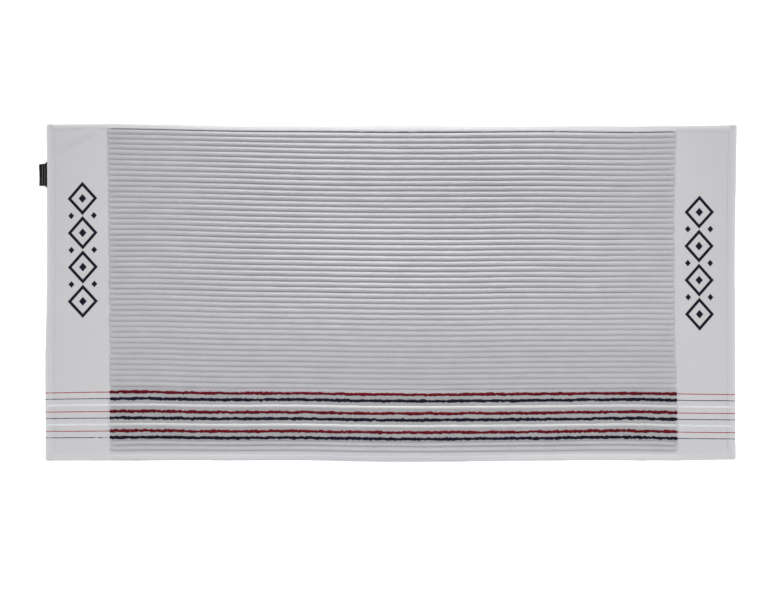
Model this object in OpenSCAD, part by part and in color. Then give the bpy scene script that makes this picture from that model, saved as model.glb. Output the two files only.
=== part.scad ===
// Ribbed terry golf towel with flat woven end bands, laid flat.
// Frame: millimetres, +Z up, X along the towel's length, Y across its width.
// Origin: middle of the towel, on the surface that it lies on.
// The towel is soft cloth.  It is divided at its middle into two halves that
// fold over each other about a line along Y, and the label flips at its seam.

/* [Towel] */
// Length along X, over both end hems
towel_l = 1016; // [960:1:1100]
// Width along Y, over both side hems
towel_w = 494; // [480:1:520]
// Width of each flat woven end band, with its end hem
band_w = 90; // [80:1:110]
// Thickness of the flat woven end bands
band_t = 1.2; // [1.0:0.1:1.5]
// Thickness of the ground weave under the pile
ground_t = 1.0; // [0.8:0.1:1.2]

/* [Ribbed pile] */
// Number of ribs above the coloured rows
rib_n = 48; // [40:1:54]
// Number of ribs between the coloured rows and the bottom hem
low_rib_n = 2; // [1:1:3]
// Height of a rib's top above the surface the towel lies on
rib_top = 3.6; // [3.0:0.1:4.0]
// Height of the short pile in the grooves and between the coloured rows
groove_z = 1.6; // [1.4:0.1:1.9]
// Width of the groove between two ribs
groove_w = 1.3; // [0.8:0.1:1.8]

/* [Coloured rows] */
// Distance from one coloured row to the next
row_pitch = 9.32; // [8.6:0.01:9.6]
// Width of a red or navy pile row
row_w = 4.0; // [3.0:0.1:5.0]
// Height of a red or navy row's top
row_top = 3.4; // [2.6:0.1:3.6]
// Width of a white cord row
cord_w = 4.6; // [3.0:0.1:5.0]
// Height of a white cord row's top
cord_top = 3.0; // [2.4:0.1:3.4]
// Width of the thin woven lines that carry on across the end bands
pin_w = 0.9; // [0.6:0.1:1.6]
// How far those lines stand above the band
pin_h = 0.15; // [0.1:0.05:0.3]

/* [Hems] */
// Width of the hem along the top side
top_hem_w = 9; // [8:0.5:12]
// Width of bare cloth between the top hem and the first rib
top_gap_w = 1.5; // [1:0.5:2]
// Width of the hem along the bottom side
bottom_hem_w = 9; // [8:0.5:10]
// Width of bare cloth between the lowest rib and the bottom hem
bottom_strip_w = 5; // [4:0.5:6]
// Width of the hem at each end
end_hem_w = 9; // [7:0.5:12]
// Thickness of one ply of a hem, which has three
ply_t = 0.8; // [0.7:0.05:0.9]
// Thickness of the sewing thread
thread_d = 0.5; // [0.3:0.1:0.8]
// Distance of the seam from a hem's inner edge
seam_in = 1.8; // [1.2:0.1:3.0]

/* [Motifs] */
// Width of the argyle motif on each band
motif_w = 44; // [36:1:52]
// Height of one lozenge of the motif
lozenge_h = 50; // [40:1:54]
// Number of lozenges in a motif
lozenge_n = 4; // [3:1:5]
// Width of a lozenge's outline
motif_stroke = 4.4; // [3.0:0.1:6.0]
// Thickness of the motif's thread above the band
motif_t = 0.4; // [0.2:0.1:0.6]
// Y of the left motif's middle
left_motif_y = 58; // [0:1:80]
// Y of the right motif's middle
right_motif_y = 44; // [0:1:80]

/* [Label] */
// Width of the label's ribbon along Y
label_w = 33; // [24:1:44]
// How far the label reaches past the towel's left edge
label_out = 11; // [8:0.5:14]
// Y of the label's middle
label_y = 169; // [140:1:190]
// Thickness of the label's ribbon
ribbon_t = 0.35; // [0.25:0.05:0.4]
// Height of the folded label, over both leaves
label_h = 0.8; // [0.8:0.05:1.0]

/* [Fold] */
// How far the left half reaches past the middle of the towel
fold_reach = 1.0; // [0.5:0.1:2.0]
// Gap between the two halves at the fold
fold_gap = 1.0; // [0.6:0.1:2.0]

/* [Hidden] */

half_l = towel_l / 2;
half_w = towel_w / 2;
hem_t = 3 * ply_t;
// Where each half ends at the fold, drawn on the left side
function fold_end(side) = side < 0 ? fold_reach : -(fold_reach + fold_gap);
field_x = half_l - band_w;                // where the pile meets the band
hem_x = half_l - end_hem_w;               // where the band meets the end hem
hem_top = half_w - top_hem_w;              // inner edge of the top hem
hem_bottom = -half_w + bottom_hem_w;       // inner edge of the bottom hem
field_top = hem_top - top_gap_w;           // where the ribs start
field_bottom = hem_bottom + bottom_strip_w;
row_first_gap = 7.2;                      // last groove to the first row
row_last_gap = 3.3;                       // last row to the lower ribs
low_pitch = 8;
row_n = 8;
rib_pitch = (field_top - field_bottom - row_first_gap - (row_n - 1) * row_pitch
             - row_last_gap - low_rib_n * low_pitch) / rib_n;
rib_end = field_top - rib_n * rib_pitch;  // the groove below the last rib
// Rows from the top: red, navy, white, red, navy, white, red, navy
row_y = [for (k = [0 : row_n - 1]) rib_end - row_first_gap - k * row_pitch];
red_y = [row_y[0], row_y[3], row_y[6]];
navy_y = [row_y[1], row_y[4], row_y[7]];
white_y = [row_y[2], row_y[5]];
low_top = row_y[row_n - 1] - row_last_gap;
rib_y = concat([for (k = [0 : rib_n - 1]) field_top - (k + 0.5) * rib_pitch],
               [for (k = [0 : low_rib_n - 1]) low_top - (k + 0.5) * low_pitch]);

cloth_grey = [0.78, 0.775, 0.785];
groove_grey = [0.70, 0.695, 0.71];
cord_white = [0.93, 0.935, 0.94];
pile_red = [0.45, 0.05, 0.08];
pile_navy = [0.10, 0.09, 0.17];
label_black = [0.06, 0.06, 0.07];
label_grey = [0.55, 0.55, 0.56];

// A profile drawn as [y, z], carried along X from x0 to x1
module along_x(x0, x1) {
  translate([x0, 0, 0]) rotate([90, 0, 90]) linear_extrude(height = x1 - x0) children();
}
// A profile drawn as [x, z], carried along Y from y0 to y1
module along_y(y0, y1) {
  translate([0, y1, 0]) rotate([90, 0, 0]) linear_extrude(height = y1 - y0) children();
}
// A box from one corner to the other
module slab(a, b) { translate(a) cube(b - a); }
// Puts a thing drawn on the left half on the right half when side is 1
module on_side(side) { if (side < 0) children(); else mirror([1, 0, 0]) children(); }

// Outline of one soft ridge of width w from z0 up to z1, left to right
function ridge(y, w, z0, z1) = let (h = z1 - z0)
  [[y - w / 2, z0], [y - w / 2, z0 + 0.42 * h], [y - 0.37 * w, z0 + 0.80 * h],
   [y - 0.16 * w, z1], [y + 0.16 * w, z1], [y + 0.37 * w, z0 + 0.80 * h],
   [y + w / 2, z0 + 0.42 * h], [y + w / 2, z0]];
// The same joined into one list for every rib, from the lowest Y to the highest
function pile_top() = [for (k = [len(rib_y) - 1 : -1 : 0])
  for (p = ridge(rib_y[k], (k < rib_n ? rib_pitch : low_pitch) - groove_w, groove_z, rib_top)) p];

// The plain woven sheet that the pile stands on
module ground_cloth(side) on_side(side) color(groove_grey)
  slab([-field_x, hem_bottom, 0], [fold_end(side), hem_top, ground_t]);

// Ribs of terry with short pile between them, all one woven layer
module ribbed_pile(side) on_side(side) color(cloth_grey)
  along_x(-field_x, fold_end(side))
    polygon(concat([[field_bottom, ground_t], [field_bottom, groove_z]], pile_top(),
                   [[field_top, groove_z], [field_top, ground_t]]));

// Raised rows that stand on the short pile
module pile_rows(side, ys, w, top) on_side(side)
  for (y = ys) along_x(-field_x, fold_end(side)) polygon(ridge(y, w, groove_z, top));

// The flat woven band at one end, without its hem
module end_band(side) on_side(side) color(cloth_grey)
  slab([-hem_x, hem_bottom, 0], [-field_x, hem_top, band_t]);

// Section of a hem folded at its outer edge, with a slot for the turned-in ply.
// Drawn with the fold at x = 0 and the hem towards +x
module hem_section(w) difference() {
  union() {
    translate([hem_t / 2, 0]) square([w - hem_t / 2, hem_t]);
    translate([hem_t / 2, hem_t / 2]) circle(r = hem_t / 2, $fn = 48);
  }
  translate([ply_t, ply_t]) square([w, ply_t]);
}
module top_hem(side) on_side(side) color(cloth_grey)
  along_x(-hem_x, fold_end(side)) translate([half_w, 0]) mirror([1, 0]) hem_section(top_hem_w);
module bottom_hem(side) on_side(side) color(cloth_grey)
  along_x(-hem_x, fold_end(side)) translate([-half_w, 0]) hem_section(bottom_hem_w);
module end_hem(side) on_side(side) color(cloth_grey) difference() {
  along_y(-half_w, half_w) translate([-half_l, 0]) hem_section(end_hem_w);
  // the slit in the fold where the label's ribbon goes in
  if (side < 0) slab([-half_l - 1, label_y - label_w / 2, ply_t],
                     [-half_l + ply_t + 1, label_y + label_w / 2, 2 * ply_t]);
}

// The cut edge of the cloth, turned in and caught inside the hem
module top_hem_inner_ply(side) on_side(side) color(groove_grey)
  slab([-hem_x, hem_top, ply_t], [fold_end(side), half_w - ply_t, 2 * ply_t]);
module bottom_hem_inner_ply(side) on_side(side) color(groove_grey)
  slab([-hem_x, -half_w + ply_t, ply_t], [fold_end(side), hem_bottom, 2 * ply_t]);
module end_hem_inner_ply(side) on_side(side) color(groove_grey) difference() {
  slab([-half_l + ply_t, -half_w, ply_t], [-hem_x, half_w, 2 * ply_t]);
  if (side < 0) slab([-half_l, label_y - label_w / 2 - 0.5, 0],
                     [-hem_x + 1, label_y + label_w / 2 + 0.5, hem_t]);
}

// The line of sewing thread on a hem's face
module side_seam(side, y) on_side(side) color(cord_white)
  slab([-hem_x + 1, y - thread_d / 2, hem_t], [fold_end(side), y + thread_d / 2, hem_t + thread_d / 2]);
module end_seam(side) on_side(side) color(cord_white)
  slab([-hem_x - seam_in - thread_d / 2, -half_w + 1.5, hem_t],
       [-hem_x - seam_in + thread_d / 2, half_w - 1.5, hem_t + thread_d / 2]);

// Thin coloured yarns woven across a band in line with the rows
module pinstripes(side, ys, w) on_side(side)
  for (y = ys) slab([-hem_x, y - w / 2, band_t], [-field_x, y + w / 2, band_t + pin_h]);

// One lozenge outline with a small solid lozenge in its middle
module rhombus(w, h) polygon([[-w / 2, 0], [0, -h / 2], [w / 2, 0], [0, h / 2]]);
module lozenge(w, h, s) {
  k = s * sqrt(w * w + h * h);
  difference() { rhombus(w, h); rhombus(w - 2 * k / h, h - 2 * k / w); }
  rhombus(w * 0.26, h * 0.26);
}
// A chain of lozenges with small solid ones beside each waist
module argyle_motif(x, y) color(pile_navy)
  translate([x, y, band_t]) linear_extrude(height = motif_t) {
    for (k = [0 : lozenge_n - 1])
      translate([0, (k - (lozenge_n - 1) / 2) * lozenge_h])
        lozenge(motif_w, lozenge_h - 1.2, motif_stroke);
    for (k = [1 : lozenge_n - 1], s = [-1, 1])
      translate([s * motif_w * 0.38, (k - lozenge_n / 2) * lozenge_h])
        rhombus(motif_w * 0.2, lozenge_h * 0.2);
  }

// The label: a ribbon folded into a loop, its two tails sewn inside the hem
label_x0 = -half_l - 0.8;
label_z0 = hem_t / 2 - label_h / 2;
module label_tails() color(label_black) {
  for (z = [ply_t, 2 * ply_t - ribbon_t])
    slab([-half_l, label_y - label_w / 2, z], [-hem_x - 1, label_y + label_w / 2, z + ribbon_t]);
}
module label_loop() color(label_black)
  along_y(label_y - label_w / 2, label_y + label_w / 2) difference() {
    union() {
      translate([-half_l - label_out + label_h / 2, label_z0])
        square([label_x0 + half_l + label_out - label_h / 2, label_h]);
      translate([-half_l - label_out + label_h / 2, label_z0 + label_h / 2])
        circle(r = label_h / 2, $fn = 32);
    }
    translate([-half_l - label_out + label_h / 2, label_z0 + ribbon_t])
      square([label_out, label_h - 2 * ribbon_t]);
  }
// Two thin lines woven along the label's upper leaf
module label_woven_lines() color(label_grey)
  for (x = [3.2, 7.0])
    slab([-half_l - x - 0.3, label_y - label_w / 2 + 1.5, label_z0 + label_h],
         [-half_l - x + 0.3, label_y + label_w / 2 - 1.5, label_z0 + label_h + 0.08]);

ground_cloth(-1);  // ground_cloth_left
ground_cloth(1);  // ground_cloth_right
ribbed_pile(-1);  // ribbed_pile_left
ribbed_pile(1);  // ribbed_pile_right
color(pile_red) pile_rows(-1, red_y, row_w, row_top);  // red_pile_rows_left
color(pile_red) pile_rows(1, red_y, row_w, row_top);  // red_pile_rows_right
color(pile_navy) pile_rows(-1, navy_y, row_w, row_top);  // navy_pile_rows_left
color(pile_navy) pile_rows(1, navy_y, row_w, row_top);  // navy_pile_rows_right
color(cord_white) pile_rows(-1, white_y, cord_w, cord_top);  // white_cord_rows_left
color(cord_white) pile_rows(1, white_y, cord_w, cord_top);  // white_cord_rows_right
end_band(-1);  // end_band_left
end_band(1);  // end_band_right
top_hem(-1);  // top_hem_left
top_hem(1);  // top_hem_right
top_hem_inner_ply(-1);  // top_hem_inner_ply_left
top_hem_inner_ply(1);  // top_hem_inner_ply_right
bottom_hem(-1);  // bottom_hem_left
bottom_hem(1);  // bottom_hem_right
bottom_hem_inner_ply(-1);  // bottom_hem_inner_ply_left
bottom_hem_inner_ply(1);  // bottom_hem_inner_ply_right
end_hem(-1);  // end_hem_left
end_hem(1);  // end_hem_right
end_hem_inner_ply(-1);  // end_hem_inner_ply_left
end_hem_inner_ply(1);  // end_hem_inner_ply_right
side_seam(-1, hem_top + seam_in);  // top_seam_thread_left
side_seam(1, hem_top + seam_in);  // top_seam_thread_right
side_seam(-1, hem_bottom - seam_in);  // bottom_seam_thread_left
side_seam(1, hem_bottom - seam_in);  // bottom_seam_thread_right
end_seam(-1);  // end_seam_thread_left
end_seam(1);  // end_seam_thread_right
color(pile_red) pinstripes(-1, red_y, pin_w);  // red_pinstripes_left
color(pile_red) pinstripes(1, red_y, pin_w);  // red_pinstripes_right
color(pile_navy) pinstripes(-1, navy_y, pin_w);  // navy_pinstripes_left
color(pile_navy) pinstripes(1, navy_y, pin_w);  // navy_pinstripes_right
color(cord_white) pinstripes(-1, white_y, 3.4);  // white_band_stripes_left
color(cord_white) pinstripes(1, white_y, 3.4);  // white_band_stripes_right
argyle_motif(-half_l + 52.5, left_motif_y);  // argyle_motif_left
argyle_motif(half_l - 53.5, right_motif_y);  // argyle_motif_right
label_tails();
label_loop();
label_woven_lines();
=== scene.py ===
import math

import bpy
import numpy as np
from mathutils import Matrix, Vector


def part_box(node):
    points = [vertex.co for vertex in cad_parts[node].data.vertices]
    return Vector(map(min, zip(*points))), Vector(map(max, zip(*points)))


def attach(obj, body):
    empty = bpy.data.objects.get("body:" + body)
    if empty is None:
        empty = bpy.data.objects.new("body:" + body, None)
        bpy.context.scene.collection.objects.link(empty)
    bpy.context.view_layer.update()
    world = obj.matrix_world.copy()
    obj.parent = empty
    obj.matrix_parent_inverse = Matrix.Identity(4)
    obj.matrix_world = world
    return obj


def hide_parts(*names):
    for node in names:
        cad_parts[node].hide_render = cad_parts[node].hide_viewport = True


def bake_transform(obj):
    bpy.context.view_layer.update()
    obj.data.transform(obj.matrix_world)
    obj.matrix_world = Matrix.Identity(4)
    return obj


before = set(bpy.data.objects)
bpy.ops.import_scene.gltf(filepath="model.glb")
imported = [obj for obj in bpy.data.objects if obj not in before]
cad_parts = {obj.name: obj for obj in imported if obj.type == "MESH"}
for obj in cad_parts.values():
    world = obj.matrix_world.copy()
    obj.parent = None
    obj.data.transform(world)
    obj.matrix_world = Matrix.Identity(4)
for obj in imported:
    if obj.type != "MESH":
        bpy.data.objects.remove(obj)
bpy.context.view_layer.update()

# ---------------------------------------------------------------------------
# Layout, in millimetres, read from the CAD nodes
# ---------------------------------------------------------------------------


def node_box(name):
    lo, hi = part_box(name)
    return np.array(lo, float) * 1000.0, np.array(hi, float) * 1000.0


pile_lo, pile_hi = node_box("ribbed_pile_left")
FX = -pile_lo[0]  # the pile ends here, left and right
FY0, FY1 = pile_lo[1], pile_hi[1]
RIB_Z = pile_hi[2]
endl_lo, endl_hi = node_box("end_hem_left")
HX, HY = -endl_lo[0], endl_hi[1]
END_HEM = endl_hi[0] - endl_lo[0]
HEM_T = endl_hi[2]
toph_lo, toph_hi = node_box("top_hem_left")
both_lo, both_hi = node_box("bottom_hem_left")
TOP_HEM = toph_hi[1] - toph_lo[1]
BOTTOM_HEM = both_hi[1] - both_lo[1]
BAND_T = node_box("end_band_left")[1][2]
GROOVE_FLOOR = 1.3


def row_lines(name, count):
    lo, hi = node_box(name)
    width = (hi[1] - lo[1] - (count - 1) * 27.96) if count > 1 else 0.0
    return [hi[1] - width / 2 - k * 27.96 for k in range(count)], width


RED_Y, RED_W = row_lines("red_pile_rows_left", 3)
NAVY_Y, NAVY_W = row_lines("navy_pile_rows_left", 3)
WHITE_Y, WHITE_W = row_lines("white_cord_rows_left", 2)
RIBS = 48
ROWS_TOP = RED_Y[0] + 7.2  # groove below the last of the 48 ribs
PITCH = (FY1 - ROWS_TOP) / RIBS
LOW_TOP = NAVY_Y[2] - 3.3
LOW_PITCH = (LOW_TOP - FY0) / 2
lab_lo, lab_hi = node_box("label_loop")
LABEL_Y = (lab_lo[1] + lab_hi[1]) / 2
LABEL_W = lab_hi[1] - lab_lo[1]

# ---------------------------------------------------------------------------
# Seeded noise on numpy arrays
# ---------------------------------------------------------------------------


def hashed(ix, iy, seed):
    """A repeatable number from 0 to 1 for each whole-number cell."""
    h = (
        ix.astype(np.int64) * 374761393
        + iy.astype(np.int64) * 668265263
        + np.int64(seed) * 2147483647
    ) & 0xFFFFFFFF
    h = ((h ^ (h >> 13)) * 1274126177) & 0xFFFFFFFF
    h = ((h ^ (h >> 16)) * 2246822519) & 0xFFFFFFFF
    return ((h ^ (h >> 15)) & 0xFFFFFF) / float(0xFFFFFF)


def noise(x, y, cx, cy, seed):
    """Smooth noise from -1 to 1 with cells of cx by cy."""
    x, y = np.broadcast_arrays(np.asarray(x, float) / cx, np.asarray(y, float) / cy)
    ix, iy = np.floor(x), np.floor(y)
    fx, fy = x - ix, y - iy
    fx, fy = fx * fx * (3 - 2 * fx), fy * fy * (3 - 2 * fy)
    a = hashed(ix, iy, seed)
    b = hashed(ix + 1, iy, seed)
    c = hashed(ix, iy + 1, seed)
    d = hashed(ix + 1, iy + 1, seed)
    return 2 * ((a * (1 - fx) + b * fx) * (1 - fy) + (c * (1 - fx) + d * fx) * fy) - 1


def tufts(x, y, cx, cy, seed, jitter=0.7):
    """Rounded bumps, one in each cell of cx by cy: 1 at a bump's middle, 0 in the creases."""
    x, y = np.broadcast_arrays(np.asarray(x, float) / cx, np.asarray(y, float) / cy)
    ix, iy = np.floor(x), np.floor(y)
    best = np.full(x.shape, 9.0)
    for dx in (-1, 0, 1):
        for dy in (-1, 0, 1):
            jx, jy = ix + dx, iy + dy
            px = jx + 0.5 + jitter * (hashed(jx, jy, seed) - 0.5)
            py = jy + 0.5 + jitter * (hashed(jx, jy, seed + 7) - 0.5)
            best = np.minimum(best, (x - px) ** 2 + (y - py) ** 2)
    return np.clip(1 - best / 0.62, 0, 1)


def curve(x, knots):
    """A smooth line through (x, value) knots."""
    kx = np.array([k[0] for k in knots], float)
    kv = np.array([k[1] for k in knots], float)
    slope = np.gradient(kv, kx)
    x = np.clip(np.asarray(x, float), kx[0], kx[-1])
    i = np.clip(np.searchsorted(kx, x) - 1, 0, len(kx) - 2)
    h = kx[i + 1] - kx[i]
    t = (x - kx[i]) / h
    return (
        (2 * t**3 - 3 * t**2 + 1) * kv[i]
        + (t**3 - 2 * t**2 + t) * h * slope[i]
        + (-2 * t**3 + 3 * t**2) * kv[i + 1]
        + (t**3 - t**2) * h * slope[i + 1]
    )


def smooth(t):
    t = np.clip(t, 0, 1)
    return t * t * (3 - 2 * t)


# ---------------------------------------------------------------------------
# How the laid cloth strays from a true rectangle: its edges and rows wander
# by a few millimetres, and it lies in very low waves
# ---------------------------------------------------------------------------

# lines along the cloth, as they should run and by how much each strays up or down
LINE_X = (-508, -418, -350, -290, -230, -170, -110, -50, 0, 50, 110, 170, 230, 290, 350, 418, 508)
LINES = (
    (247.0, (-0.6, 0.5, -0.1, -0.9, -2.0, -1.7, -1.6, -1.3, -0.8, -1.0, -1.7, -2.2, -2.1, -1.9, -2.6, -2.3, -1.4)),
    (236.5, (2.2, 3.8, 2.9, 1.4, 0.2, -0.5, -0.8, -1.2, -1.6, -1.5, -1.3, -0.9, -0.5, -1.2, -1.7, -0.7, -0.6)),
    (212.0, (3.6, 5.8, 4.3, 3.3, 2.3, 0.9, -0.2, -0.9, -1.5, -1.6, -1.3, -0.9, -0.8, -1.4, -1.9, -1.0, -0.8)),
    (174.0, (3.8, 6.5, 5.2, 4.1, 2.9, 1.2, -0.2, -0.8, -1.0, -0.9, -0.9, -0.7, -0.5, -1.2, -1.7, -1.1, -0.8)),
    (79.0, (3.6, 5.3, 5.3, 4.0, 2.4, 1.3, 0.5, -0.3, -0.7, -0.9, -0.8, -0.2, -0.1, -1.0, -0.9, -0.8, -0.6)),
    (-30.0, (2.8, 4.6, 4.5, 3.1, 1.7, 0.9, 0.2, -0.7, -1.3, -1.5, -1.6, -0.8, -0.6, -0.7, -0.2, -0.7, -1.0)),
    (-133.4, (1.3, 3.4, 2.8, 1.1, 0.2, 0.1, -0.8, -1.8, -2.1, -2.5, -2.1, -1.5, -0.9, -0.7, -0.5, -0.5, -1.5)),
    (-148.5, (0.8, 2.1, 2.0, 0.8, 0.3, 0.2, -0.1, -1.3, -1.6, -1.9, -1.6, -1.3, -0.7, -0.2, 0.3, -0.6, -1.5)),
    (-213.7, (0.2, 0.5, 1.2, 0.3, 0.0, 0.5, 0.0, -1.1, -1.4, -1.6, -1.2, -0.9, -0.2, 0.6, 1.1, -0.8, -1.5)),
    (-247.0, (0.1, -0.2, 0.2, 0.5, 0.1, 0.3, 0.1, -1.4, -1.9, -1.9, -1.4, -0.5, -0.2, 0.5, 0.0, 0.0, 2.0)),
)
LEFT_EDGE = [(-247, -0.4), (-100, -1.1), (0, 1.0), (170, 1.2), (247, 1.3)]
LEFT_FIELD = [(-247, 3.4), (-100, 2.6), (60, 1.4), (247, -0.8)]
RIGHT_FIELD = [(-247, 3.3), (-120, 0.7), (40, -2.1), (160, -1.5), (247, 0.5)]
RIGHT_EDGE = [(-247, -3.0), (-80, -3.2), (40, -3.7), (170, -2.1), (247, -1.0)]


def lift(x, y):
    """Height of the cloth's underside above the surface it lies on."""
    ax = np.abs(x)
    w = 0.5 + 0.5 * np.sin(x / 61.0 + 0.9 + 0.9 * np.sin(y / 95.0 + 0.4))
    v = 0.5 + 0.5 * np.sin(y / 43.0 + 1.3 * np.sin(x / 140.0) + 2.1)
    base = 0.55 * w * (0.35 + 0.65 * v) * smooth((ax - 14) / 120.0)
    # the plain bands and the hems have room to lift a little more
    band = smooth((ax - (FX + 4)) / 30.0)
    ripple = 0.5 + 0.5 * np.sin(y / 27.0 + np.sign(x) * 1.1 + 0.8 * np.sin(x / 33.0))
    base = base + band * 0.35 * ripple
    edge = smooth((np.abs(y) - 205) / 40.0) * smooth((ax - 20) / 60.0)
    base = base + edge * 0.45 * (0.5 + 0.5 * np.sin(x / 23.0 + 0.7 * np.sign(y)))
    # corners that curl up slightly
    for cx, cy, h, r in (
        (-508, 247, 1.5, 55),
        (-508, -247, 0.9, 45),
        (508, 247, 0.7, 40),
        (508, -247, 1.4, 60),
    ):
        d = np.hypot((x - cx), (y - cy))
        base = base + h * smooth(1 - d / r)
    # a faint crease across the upper left band
    tx, ty = -446.0 + 490.0, 231.0 - 210.0
    along = ((x + 490.0) * tx + (y - 210.0) * ty) / (tx * tx + ty * ty)
    off = ((x + 490.0) * -ty + (y - 210.0) * tx) / math.hypot(tx, ty)
    base = base + 3.0 * np.exp(-((off / 5.6) ** 2)) * smooth(
        (along + 0.35) / 0.5
    ) * smooth((1.5 - along) / 0.6)
    return base


def warp(P):
    """Takes points of the true rectangle to where the laid cloth has them."""
    P = np.array(P, float)
    x, y = P[:, 0].copy(), P[:, 1].copy()
    ys = np.array([line[0] for line in LINES][::-1])
    stray = np.array([curve(x, list(zip(LINE_X, line[1]))) for line in LINES][::-1])
    i = np.clip(np.searchsorted(ys, y) - 1, 0, len(ys) - 2)
    t = np.clip((y - ys[i]) / (ys[i + 1] - ys[i]), 0, 1)
    at = np.arange(len(x))
    dy = stray[i, at] * (1 - t) + stray[i + 1, at] * t
    le, lf = curve(y, LEFT_EDGE), curve(y, LEFT_FIELD)
    rf, re = curve(y, RIGHT_FIELD), curve(y, RIGHT_EDGE)
    dx = np.where(
        x < -FX,
        lf + (le - lf) * np.clip((-FX - x) / (HX - FX), 0, 1.2),
        np.where(
            x > FX,
            rf + (re - rf) * np.clip((x - FX) / (HX - FX), 0, 1.2),
            np.where(x < 0, lf * smooth(-x / FX), rf * smooth(x / FX)),
        ),
    )
    P[:, 2] += lift(x, y)
    P[:, 0] = x + dx
    P[:, 1] = y + dy
    return P


# ---------------------------------------------------------------------------
# Mesh making
# ---------------------------------------------------------------------------

scene = bpy.context.scene


def make_object(name, P, faces, uv=None, materials=(), face_material=None, shade=True, warped=True):
    """faces: a list of int arrays, each (n, k) for n faces of k corners. uv: (n, 2) for each vertex, in metres."""
    P = np.asarray(P, float)
    if uv is None:
        uv = P[:, :2] * 0.001
    if warped:
        P = warp(P)
    me = bpy.data.meshes.new(name)
    me.vertices.add(len(P))
    me.vertices.foreach_set("co", (P * 0.001).astype(np.float32).ravel())
    faces = [np.asarray(f, np.int64) for f in faces if len(f)]
    loops = np.concatenate([f.ravel() for f in faces])
    sizes = np.concatenate([np.full(len(f), f.shape[1], np.int64) for f in faces])
    starts = np.concatenate([[0], np.cumsum(sizes)[:-1]])
    me.loops.add(len(loops))
    me.loops.foreach_set("vertex_index", loops.astype(np.int32))
    me.polygons.add(len(sizes))
    me.polygons.foreach_set("loop_start", starts.astype(np.int32))
    me.polygons.foreach_set("loop_total", sizes.astype(np.int32))
    if face_material is not None:
        me.polygons.foreach_set("material_index", np.asarray(face_material, np.int32))
    me.update(calc_edges=True)
    me.validate()
    layer = me.uv_layers.new(name="cloth")
    idx = np.zeros(len(me.loops), np.int32)
    me.loops.foreach_get("vertex_index", idx)
    layer.data.foreach_set("uv", np.asarray(uv, np.float32)[idx].ravel())
    if shade:
        me.shade_smooth()
    for m in materials:
        me.materials.append(m)
    ob = bpy.data.objects.new(name, me)
    scene.collection.objects.link(ob)
    return ob


def grid_faces(nu, nv, base=0, flip=False, wrap_v=False):
    """Quads of a grid of nu by nv points stored row by row (u first)."""
    u = np.arange(nu - 1)[:, None]
    v = np.arange(nv if wrap_v else nv - 1)[None, :]
    w = (v + 1) % nv
    a = base + u * nv + v
    b = base + (u + 1) * nv + v
    c = base + (u + 1) * nv + w
    d = base + u * nv + w
    q = np.stack([a, b, c, d], -1).reshape(-1, 4)
    return q[:, ::-1] if flip else q


def stations(x0, x1, step, fine=0.75, reach=8.0):
    """Places along the length from x0 to x1, closer together at the fold."""
    if x0 < -reach and x1 > reach:
        n = max(2, int(round((-reach - x0) / step)))
        left = np.linspace(x0, -reach, n + 1)[:-1]
        mid = np.linspace(-reach, reach, int(2 * reach / fine) + 1)
        n = max(2, int(round((x1 - reach) / step)))
        right = np.linspace(reach, x1, n + 1)[1:]
        return np.concatenate([left, mid, right])
    return np.linspace(x0, x1, max(2, int(round(abs(x1 - x0) / step))) + 1)


def shade_by(ob, values):
    """Keeps one number a vertex for the material's painted light and shade: in the pile 0 is the painted shade of its
    grooves and 1 its crests, on a hem 1 is the painted highlight of its folded edge.
    """
    layer = ob.data.attributes.new("painted_shading", "FLOAT", "POINT")
    layer.data.foreach_set("value", np.asarray(values, np.float32))


def across_fold(ob):
    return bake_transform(ob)


# ---------------------------------------------------------------------------
# Materials
# ---------------------------------------------------------------------------


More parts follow.
